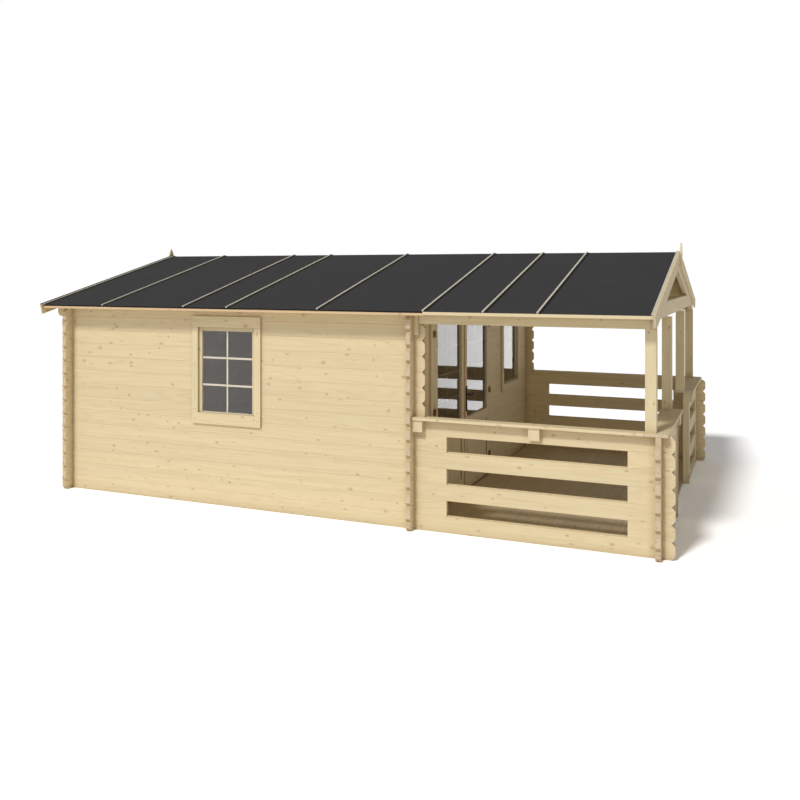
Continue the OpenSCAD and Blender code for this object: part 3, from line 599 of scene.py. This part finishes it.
def add_screw(bm, centre, facing, sizes):
    """A domed screw head that stands on a face."""
    turn = Vector(facing).to_track_quat("Z", "Y").to_matrix().to_4x4()
    base = Matrix.Translation(centre) @ turn
    for foot_r, top_r, foot, top in SCREW_RINGS:
        lift = Matrix.Translation((0, 0, sizes.screw_h * (foot + top) / 2))
        bmesh.ops.create_cone(
            bm, cap_ends=True, segments=SCREW_SEGMENTS, radius1=sizes.screw_r * foot_r,
            radius2=sizes.screw_r * top_r, depth=sizes.screw_h * (top - foot), matrix=base @ lift)


def wall_point(across, out, along_wall, through, z):
    """A point from its place along the wall, through the wall and up."""
    point = Vector((0, 0, z))
    point[across] = along_wall
    point[out] = through
    return point


def make_piece(context, bm, name, body, material, edge=0.0):
    """Turns a mesh into a piece that rides on a body."""
    mesh = bpy.data.meshes.new(name)
    bm.to_mesh(mesh)
    bm.free()
    mesh.materials.append(material)
    piece = bpy.data.objects.new(name, mesh)
    context.collection.objects.link(piece)
    if edge:
        round_edges(piece, edge)
    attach(piece, body)
    return piece


def round_edges(piece, width):
    """Rounds the sharp edges of a piece."""
    bevel = piece.modifiers.new("Rounded edges", "BEVEL")
    bevel.width = width
    bevel.segments = EDGE_SEGMENTS
    bevel.limit_method = "ANGLE"
    bevel.angle_limit = EDGE_ANGLE


def weld_corners(piece, distance):
    """Joins the corners of each board, so that a board is one island."""
    weld = piece.modifiers.new("Joined corners", "WELD")
    weld.merge_threshold = distance


def boards_across(low, high, width, gap=0.0):
    """The start and end of each board, where boards of about one width fill a span."""
    count = round((high - low) / width)
    pitch = (high - low) / count
    for number in range(count):
        start = low + number * pitch
        yield start, high if number == count - 1 else start + pitch - gap


def boards_of(node):
    """The separate boards of a CAD node: lowest corner, highest corner and face numbers."""
    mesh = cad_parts[node].data
    owner = {}

    def root(key):
        while owner[key] != key:
            owner[key] = owner[owner[key]]
            key = owner[key]
        return key

    keys = [tuple(round(c * CORNER_STEPS) for c in vertex.co) for vertex in mesh.vertices]
    for key in keys:
        owner.setdefault(key, key)
    for face in mesh.polygons:
        first = root(keys[face.vertices[0]])
        for vertex in face.vertices[1:]:
            owner[root(keys[vertex])] = first
    faces = {}
    for face in mesh.polygons:
        faces.setdefault(root(keys[face.vertices[0]]), []).append(face.index)
    boards = []
    for numbers in faces.values():
        points = corners_of(node, numbers)
        low = Vector(min(p[axis] for p in points) for axis in (X, Y, Z))
        high = Vector(max(p[axis] for p in points) for axis in (X, Y, Z))
        boards.append((low, high, numbers))
    return boards


def corners_of(node, faces):
    """The corners of some faces of a CAD node."""
    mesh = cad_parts[node].data
    return [mesh.vertices[v].co for face in faces for v in mesh.polygons[face].vertices]


def slope_edge(node, faces, pitch, upper):
    """The lower and the upper end of a sloping board's top or bottom edge."""
    def height(point):
        return point.z

    points = corners_of(node, faces)
    rise = max(points, key=height).y - min(points, key=height).y
    climb = math.copysign(math.tan(pitch), rise)
    levels = [point.z - climb * point.y for point in points]
    wanted = max(levels) if upper else min(levels)
    edge = [p for p, level in zip(points, levels) if abs(level - wanted) < EDGE_REACH]
    return min(edge, key=height), max(edge, key=height)


def grain_of(low, high, pitch):
    """The direction in which a board's grain runs."""
    size = high - low
    longest = max((X, Y, Z), key=lambda axis: size[axis])
    least, most = (share * math.tan(pitch) for share in SLOPE_SHARES)
    if longest == Y and least < size.z / size.y < most:
        return "near slope" if low.y + high.y < 0 else "far slope"
    return "XYZ"[longest]


def dress_nodes(nodes, material):
    """One finish on whole CAD nodes."""
    for node in nodes:
        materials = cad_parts[node].data.materials
        materials.clear()
        materials.append(material)


def dress_logs(scene, nodes, grain):
    """Pine logs, each with its own tone."""
    dress_nodes(nodes, pine(scene, "log", grain))
    for node in nodes:
        weld_corners(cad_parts[node], scene.cabin_sizes.weld)


def dress_boards(scene, nodes, finish):
    """Pine boards, with the grain along each board."""
    sizes = scene.cabin_sizes
    for node in nodes:
        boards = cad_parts[node]
        mesh = boards.data
        mesh.materials.clear()
        numbers = {}
        for low, high, faces in boards_of(node):
            grain = grain_of(low, high, sizes.roof_pitch)
            if grain not in numbers:
                numbers[grain] = len(numbers)
                mesh.materials.append(pine(scene, finish, grain))
            for face in faces:
                mesh.polygons[face].material_index = numbers[grain]
        weld_corners(boards, sizes.weld)
        round_edges(boards, sizes.edge)


# Operators

class CABIN_OT_log_walls(bpy.types.Operator):
    """Gives the walls and the railing their pine logs"""

    bl_idname = "cabin.log_walls"
    bl_label = "Log walls"

    def execute(self, context):
        dress_logs(context.scene, LOGS_ALONG_X, "X")
        dress_logs(context.scene, LOGS_ALONG_Y, "Y")
        return {"FINISHED"}


class CABIN_OT_boards(bpy.types.Operator):
    """Gives boards, beams, posts and trims their planed pine"""

    bl_idname = "cabin.boards"
    bl_label = "Boards and beams"

    def execute(self, context):
        dress_boards(context.scene, BOARD_NODES + BEAM_NODES, "board")
        dress_boards(context.scene, ("cabin_eave_trims",), "honey")
        dress_boards(context.scene, ("roof_battens",), "batten")
        return {"FINISHED"}


class CABIN_OT_packing(bpy.types.Operator):
    """Fills the slit between the front wall and the blocks beside the header beams"""

    bl_idname = "cabin.packing"
    bl_label = "Packing"

    def execute(self, context):
        sizes = context.scene.cabin_sizes
        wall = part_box("front_wall_near")[1].x + sizes.glass_gap
        bm = bmesh.new()
        for low, high, _ in boards_of("header_blocks"):
            outer, inner = (low.y, high.y) if low.y < 0 else (high.y, low.y)
            outer -= math.copysign(sizes.packing_back, outer)
            add_board(bm, (wall, outer, low.z), (low.x - sizes.glass_gap, inner, high.z))
        make_piece(
            context, bm, "header_packing", "cabin",
            pine(context.scene, "board", "Z"), sizes.fine_edge)
        return {"FINISHED"}


class CABIN_OT_floors(bpy.types.Operator):
    """Lays the floor boards of the cabin and the porch"""

    bl_idname = "cabin.floors"
    bl_label = "Floors"

    def execute(self, context):
        for node in ("cabin_floor", "porch_floor"):
            self.lay(context, node)
        return {"FINISHED"}

    def lay(self, context, node):
        """One floor of boards that run from side to side."""
        sizes = context.scene.cabin_sizes
        low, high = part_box(node)
        bm = bmesh.new()
        for start, end in boards_across(low.x, high.x, sizes.floor_board, sizes.floor_gap):
            add_board(bm, (start, low.y, low.z), (end, high.y, high.z))
        piece = make_piece(
            context, bm, f"{node}_planks", "cabin",
            pine(context.scene, "floor", "Y"), sizes.fine_edge)
        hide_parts(node)


class CABIN_OT_roofing(bpy.types.Operator):
    """Lays the roof boards, and finishes the felt with its folded edges, the painted shadows
    beside the battens, and verge laps that also paint shade on the back verge
    """

    bl_idname = "cabin.roofing"
    bl_label = "Roofing"

    # Shortest and longest cut of a felt sheet, in shares of the fold's height
    cuts = (0.85, 1.1)

    def execute(self, context):
        for side, ridge_first in (("near", False), ("far", True)):
            self.board_slope(context, f"{side}_roof_boards", f"{side} slope", ridge_first)
        dress_nodes(("near_felt", "far_felt"), mineral_felt(context.scene))
        self.fold_felt(context)
        self.paint_batten_shadows(context)
        self.lap_verge_as_shade(context)
        return {"FINISHED"}

    def board_slope(self, context, node, grain, ridge_first):
        """The boards of one slope, each from the eave to the ridge."""
        sizes = context.scene.cabin_sizes
        low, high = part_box(node)
        climb = math.tan(sizes.roof_pitch) * (high.y - low.y)
        eave, ridge = (high.y, low.y) if ridge_first else (low.y, high.y)
        foot = (eave, low.z, high.z - climb)
        head = (ridge, low.z + climb, high.z)
        bm = bmesh.new()
        for start, end in boards_across(low.x, high.x, sizes.roof_board, sizes.roof_gap):
            add_sloping_board(bm, start, end, foot, head)
        piece = make_piece(
            context, bm, f"{node}_planks", "cabin",
            pine(context.scene, "board", grain), sizes.edge)
        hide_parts(node)

    def fold_felt(self, context):
        """The lower edge of each felt sheet, folded down over the cabin's eave trims."""
        sizes = context.scene.cabin_sizes
        rng = random.Random(sizes.felt_seed)
        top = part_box("near_felt")[0].z + sizes.felt_fold_t
        bm = bmesh.new()
        for low, high, _ in boards_of("cabin_eave_trims"):
            face, out = (low.y, -1) if low.y < 0 else (high.y, 1)
            count = math.ceil((high.x - low.x) / sizes.felt_sheet)
            width = (high.x - low.x) / count
            for number in range(count):
                start = low.x + number * width
                drop = sizes.felt_fold * rng.uniform(*self.cuts)
                lap = sizes.felt_fold_t * (1 + number % 2)
                add_board(
                    bm, (start, face + out * sizes.glass_gap, top - drop),
                    (start + width, face + out * lap, top))
        make_piece(context, bm, "felt_folds", "cabin", bitumen(context.scene))

    def lay_strip(self, bm, node, faces, upper, x0, x1, thickness, sizes):
        """A thin strip along the top or bottom edge of a sloping board."""
        ends = slope_edge(node, faces, sizes.roof_pitch, upper)
        foot, head = ((end.y, end.z + sizes.glass_gap, end.z + thickness) for end in ends)
        add_sloping_board(bm, x0, x1, foot, head)

    def paint_batten_shadows(self, context):
        """A dark strip on the front side of each roof batten: painted shadow that the batten casts
        on the felt.
        """
        sizes = context.scene.cabin_sizes
        node = "roof_battens"
        bm = bmesh.new()
        for _, high, faces in boards_of(node):
            start = high.x + sizes.glass_gap
            end = start + sizes.batten_shadow_w
            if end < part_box("near_felt")[1].x:
                self.lay_strip(bm, node, faces, False, start, end, sizes.felt_fold_t, sizes)
        make_piece(context, bm, "batten_shadows", "cabin", bitumen(context.scene))

    def lap_verge_as_shade(self, context):
        """The felt that is turned over the top edges of the back barge boards, which also paints
        the shade on the back verge.
        """
        sizes = context.scene.cabin_sizes
        node = "barge_boards"
        bm = bmesh.new()
        for low, high, faces in boards_of(node):
            if high.x <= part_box("back_wall")[1].x:
                self.lay_strip(bm, node, faces, True, low.x, high.x, sizes.verge_lap, sizes)
        make_piece(
            context, bm, "verge_laps_as_shade", "cabin", mineral_felt(context.scene))


def add_glazing(bm, node, across, out, rows, sizes, barred):
    """Beads on both faces of a pane, and bars on the faces that are barred."""
    low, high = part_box(node)
    left, right = low[across], high[across]
    mid = (left + right) / 2
    half = sizes.bar_w / 2
    foot, head = low.z + sizes.bead, high.z - sizes.bead
    for glass, sign in ((low[out], -1), (high[out], 1)):
        def strip(w0, z0, w1, z1, depth):
            inner, outer = glass + sign * sizes.glass_gap, glass + sign * depth
            add_board(
                bm, wall_point(across, out, w0, inner, z0), wall_point(across, out, w1, outer, z1))

        for z0, z1 in ((low.z, foot), (head, high.z)):
            strip(left, z0, right, z1, sizes.bead)
        for w0, w1 in ((left, left + sizes.bead), (right - sizes.bead, right)):
            strip(w0, foot, w1, head, sizes.bead)
        if sign not in barred:
            continue
        strip(mid - half, foot, mid + half, head, sizes.bar_d)
        for row in range(1, rows):
            z = low.z + (high.z - low.z) * row / rows
            strip(left + sizes.bead, z - half, mid - half, z + half, sizes.bar_d)
            strip(mid + half, z - half, right - sizes.bead, z + half, sizes.bar_d)


class CABIN_OT_windows(bpy.types.Operator):
    """Glazes the windows and doors, and adds the windows' bars and beads"""

    bl_idname = "cabin.windows"
    bl_label = "Windows"

    pane_rows = 3

    def execute(self, context):
        scene, sizes = context.scene, context.scene.cabin_sizes
        dress_nodes(GLASS_NODES, window_glass(scene))
        for window, across, out, barred in (
                ("near", X, Y, (-1, 1)), ("far", X, Y, (-1, 1)), ("front", Y, X, (-1,))):
            bm = bmesh.new()
            pane = f"{window}_window_glass"
            add_glazing(bm, pane, across, out, self.pane_rows, sizes, barred)
            make_piece(
                context, bm, f"{window}_window_bars", "cabin",
                pine(scene, "bar", "Z"), sizes.edge)
        return {"FINISHED"}


class CABIN_OT_doors(bpy.types.Operator):
    """Adds the bars, panels and meeting strip of the double door, and finishes its fittings"""

    bl_idname = "cabin.doors"
    bl_label = "Doors"

    pane_rows = 4
    # A board of the leaf with less than this share of its depth is the lower panel
    panel_share = 0.75

    def execute(self, context):
        scene, sizes = context.scene, context.scene.cabin_sizes
        for side in ("near", "far"):
            bm = bmesh.new()
            add_glazing(bm, f"{side}_door_glass", Y, X, self.pane_rows, sizes, barred=(-1,))
            make_piece(
                context, bm, f"{side}_door_bars", f"{side}_door",
                pine(scene, "bar", "Z"), sizes.edge)
            self.panel(context, side)
        self.meeting_strip(context)
        dress_nodes(BRASS_NODES, brass(scene))
        dress_nodes(BLACK_NODES, black_lacquer(scene))
        return {"FINISHED"}

    def panel(self, context, side):
        """Upright boards on both faces of a leaf's lower panel, with a dark bead at each side as
        painted shade in the panel's reveal.
        """
        sizes = context.scene.cabin_sizes
        leaf = f"{side}_door_leaf"
        leaf_low, leaf_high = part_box(leaf)
        depth = (leaf_high.x - leaf_low.x) * self.panel_share
        low, high = next((a, b) for a, b, _ in boards_of(leaf) if b.x - a.x < depth)
        bm = bmesh.new()
        for face, out in ((low.x, -1), (high.x, 1)):
            inner, outer = face + out * sizes.glass_gap, face + out * sizes.panel_board_t
            for y0, y1 in boards_across(low.y, high.y, sizes.panel_board):
                add_board(bm, (inner, y0, low.z), (outer, y1, high.z))
        make_piece(
            context, bm, f"{side}_door_panel_boards", f"{side}_door",
            pine(context.scene, "board", "Z"), sizes.fine_edge)
        # Dark beads at the panel's sides, as painted shade in its reveals
        bm = bmesh.new()
        for face, leaf_face, out in ((low.x, leaf_low.x, -1), (high.x, leaf_high.x, 1)):
            inner = face + out * (sizes.panel_board_t + sizes.glass_gap)
            outer = leaf_face - out * sizes.bead_back
            for y0, y1 in ((low.y, low.y + sizes.panel_bead), (high.y - sizes.panel_bead, high.y)):
                add_board(bm, (inner, y0, low.z), (outer, y1, high.z))
        make_piece(
            context, bm, f"{side}_door_panel_beads", f"{side}_door",
            pine(context.scene, "stain", "Z"), sizes.fine_edge)

    def meeting_strip(self, context):
        """The strip on the far leaf's meeting edge, which fills most of the gap between them."""
        sizes = context.scene.cabin_sizes
        low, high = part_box("far_door_leaf")
        bm = bmesh.new()
        add_board(
            bm, (low.x + sizes.seal_w, low.y - sizes.seal_w, low.z + sizes.seal_end),
            (high.x + sizes.seal_out, low.y - sizes.glass_gap, high.z - sizes.seal_end))
        make_piece(
            context, bm, "door_meeting_strip", "far_door",
            pine(context.scene, "honey", "Z"), sizes.fine_edge)


class CABIN_OT_screws(bpy.types.Operator):
    """Sets the screws of trims, battens, hinges and handle plates"""

    bl_idname = "cabin.screws"
    bl_label = "Screws"

    # Heights of the screws in a hinge, in shares of its height
    hinge_heights = (0.2, 0.5, 0.8)

    def execute(self, context):
        scene, sizes = context.scene, context.scene.cabin_sizes
        for node, out, sign in (
                ("near_window_frame", Y, -1), ("far_window_frame", Y, 1),
                ("front_window_frame", X, 1), ("door_frame", X, 1)):
            bm = bmesh.new()
            self.trim_screws(bm, node, out, sign, sizes)
            make_piece(context, bm, f"{node}_screws", "cabin", brass(scene))
        bm = bmesh.new()
        self.batten_screws(bm, sizes)
        make_piece(context, bm, "batten_screws", "cabin", brass(scene))
        for node, body in zip(BRASS_NODES, ("cabin", "near_door", "far_door")):
            bm = bmesh.new()
            self.hinge_screws(bm, node, sizes)
            make_piece(context, bm, f"{node}_screws", body, brass(scene))
        bm = bmesh.new()
        self.plate_screws(bm, sizes)
        make_piece(
            context, bm, "lever_plate_screws", "far_door", black_lacquer(scene))
        return {"FINISHED"}

    def trim_screws(self, bm, node, out, sign, sizes):
        """Screws at both ends of each outer trim board."""
        across = X if out == Y else Y
        facing = Vector((0, 0, 0))
        facing[out] = sign
        boards = [
            (low, high, (high if sign > 0 else low)[out]) for low, high, _ in boards_of(node)]
        outermost = max(sign * surface for _, _, surface in boards)
        for low, high, surface in boards:
            if abs(sign * surface - outermost) > sizes.weld:
                continue
            middle = (low + high) / 2
            upright = high.z - low.z > high[across] - low[across]
            for end, inset in ((low, sizes.screw_inset), (high, -sizes.screw_inset)):
                if upright:
                    along, z = middle[across], end.z + inset
                else:
                    along, z = end[across] + inset, middle.z
                add_screw(bm, wall_point(across, out, along, surface, z), facing, sizes)

    def batten_screws(self, bm, sizes):
        """A row of screws along each batten."""
        slope = math.tan(sizes.roof_pitch)
        for low, high, _ in boards_of("roof_battens"):
            near = low.y + high.y < 0
            facing = Vector((0, -slope if near else slope, 1)).normalized()
            for number in range(sizes.batten_screws):
                share = (number + 0.5) / sizes.batten_screws
                y = low.y + (high.y - low.y) * share
                drop = (high.y - y) if near else (y - low.y)
                add_screw(bm, ((low.x + high.x) / 2, y, high.z - drop * slope), facing, sizes)

    def hinge_screws(self, bm, node, sizes):
        """Three screws in each hinge plate, clear of the barrel."""
        pins = (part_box("near_door_leaf")[0].y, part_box("far_door_leaf")[1].y)
        for low, high, _ in boards_of(node):
            pin = min(pins, key=lambda y: abs(y - (low.y + high.y) / 2))
            barrel_at_low = abs(low.y - pin) < abs(high.y - pin)
            y = high.y - sizes.hinge_inset if barrel_at_low else low.y + sizes.hinge_inset
            for share in self.hinge_heights:
                z = low.z + (high.z - low.z) * share
                add_screw(bm, (low.x + sizes.hinge_t, y, z), (1, 0, 0), sizes)

    def plate_screws(self, bm, sizes):
        """Screws at the top and foot of each handle plate."""
        for low, high, _ in boards_of("lever_plates"):
            outer = low.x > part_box("far_door_leaf")[0].x
            surface, facing = (high.x, 1) if outer else (low.x, -1)
            y = (low.y + high.y) / 2
            for z in (low.z + sizes.plate_inset, high.z - sizes.plate_inset):
                add_screw(bm, (surface, y, z), (facing, 0, 0), sizes)


class CABIN_OT_stage(bpy.types.Operator):
    """Sets the floor, the light and the camera"""

    bl_idname = "cabin.stage"
    bl_label = "Stage"

    def execute(self, context):
        context.scene.view_settings.view_transform = "Standard"
        self.floor(context)
        self.light(context)
        self.camera(context)
        return {"FINISHED"}

    def seen(self, tree):
        """1 where the camera, a sharp reflection or a pane looks, and 0 for other light."""
        rays = tree.nodes.new("ShaderNodeLightPath").outputs
        sharp = add_math(tree, "MAXIMUM", rays["Is Singular Ray"], rays["Is Transmission Ray"])
        return add_math(tree, "MAXIMUM", rays["Is Camera Ray"], sharp)

    def gain(self, tree, plain, mirrored):
        """One brightness for the picture, and one for the sharp reflections in the panes."""
        rays = tree.nodes.new("ShaderNodeLightPath").outputs
        sharp = add_math(tree, "MULTIPLY", rays["Is Singular Ray"], rays["Is Reflection Ray"])
        return add_range(tree, sharp, 0.0, 1.0, plain, mirrored)

    def floor(self, context):
        """A wide pale floor that keeps the cabin's shadow."""
        stage = context.scene.cabin_stage
        bm = bmesh.new()
        bmesh.ops.create_grid(bm, x_segments=2, y_segments=2, size=stage.floor_size)
        mesh = bpy.data.meshes.new("studio_floor")
        bm.to_mesh(mesh)
        bm.free()
        floor = bpy.data.objects.new("studio_floor", mesh)
        floor.location.z = CAD_LOW.z - stage.floor_drop
        context.collection.objects.link(floor)
        material, tree, shader = new_material("Studio floor")
        gain = self.gain(tree, stage.floor_gain, stage.mirrored)
        shown = add_vector_math(tree, "MULTIPLY", stage.floor[:3], gain)
        colour = add_mix(tree, self.seen(tree), stage.floor_bounce, shown)
        tree.links.new(colour, shader.inputs["Base Color"])
        shader.inputs["Roughness"].default_value = 1.0
        shader.inputs["Specular IOR Level"].default_value = 0.0
        mesh.materials.append(material)

    def light(self, context):
        """A soft sun, and soft light from all round."""
        stage = context.scene.cabin_stage
        lamp = bpy.data.lights.new("key_sun", "SUN")
        lamp.energy = stage.sun_strength
        lamp.angle = stage.sun_angle
        sun = bpy.data.objects.new("key_sun", lamp)
        sun.rotation_euler = Vector(stage.sun_travel).to_track_quat("-Z", "Y").to_euler()
        context.collection.objects.link(sun)
        world = bpy.data.worlds.new("Studio")
        world.use_nodes = True
        tree = world.node_tree
        background = tree.nodes["Background"]
        background.inputs["Color"].default_value = stage.backdrop
        coordinates = tree.nodes.new("ShaderNodeTexCoord").outputs["Generated"]
        towards = add_split(tree, coordinates)
        sky = add_range(tree, towards["Z"], 0.0, 1.0, stage.sky_low, stage.sky_high)
        front = add_range(tree, towards["Y"], -1.0, 0.0, stage.sky_front, 0.0)
        side = add_range(tree, towards["X"], 0.0, 1.0, 0.0, stage.sky_side)
        sky = add_math(tree, "SUBTRACT", add_math(tree, "ADD", sky, front), side)
        shown = self.gain(tree, 1.0, stage.mirrored)
        strength = add_range(tree, self.seen(tree), 0.0, 1.0, sky, shown)
        tree.links.new(strength, background.inputs["Strength"])
        context.scene.world = world

    def camera(self, context):
        """The camera at the photograph's viewing angle."""
        stage = context.scene.cabin_stage
        lens = bpy.data.cameras.new("photo_camera")
        lens.lens = stage.lens
        lens.shift_y = stage.shift
        lens.clip_end = stage.camera_reach
        camera = bpy.data.objects.new("photo_camera", lens)
        camera.location = stage.camera_place
        camera.rotation_euler = (math.pi / 2, 0, stage.camera_turn)
        context.collection.objects.link(camera)
        context.scene.camera = camera


class CABIN_PT_looks(bpy.types.Panel):
    """Lists the steps that dress the cabin"""

    bl_idname = "CABIN_PT_looks"
    bl_label = "Log Cabin"
    bl_space_type = "VIEW_3D"
    bl_region_type = "UI"
    bl_category = "Log Cabin"

    def draw(self, context):
        for step in STEPS:
            self.layout.operator(step.bl_idname)


STEPS = (
    CABIN_OT_log_walls, CABIN_OT_boards, CABIN_OT_packing, CABIN_OT_floors, CABIN_OT_roofing,
    CABIN_OT_windows, CABIN_OT_doors, CABIN_OT_screws, CABIN_OT_stage,
)
SETTINGS = {"cabin_colours": CabinColours, "cabin_sizes": CabinSizes, "cabin_stage": CabinStage}
CLASSES = (*SETTINGS.values(), *STEPS, CABIN_PT_looks)


def register():
    for cls in CLASSES:
        bpy.utils.register_class(cls)
    for name, settings in SETTINGS.items():
        setattr(bpy.types.Scene, name, bpy.props.PointerProperty(type=settings))


def unregister():
    for name in SETTINGS:
        delattr(bpy.types.Scene, name)
    for cls in reversed(CLASSES):
        bpy.utils.unregister_class(cls)


def main():
    register()
    bpy.ops.cabin.log_walls()
    bpy.ops.cabin.boards()
    bpy.ops.cabin.packing()
    bpy.ops.cabin.floors()
    bpy.ops.cabin.roofing()
    bpy.ops.cabin.windows()
    bpy.ops.cabin.doors()
    bpy.ops.cabin.screws()
    bpy.ops.cabin.stage()


if __name__ == "__main__":
    main()
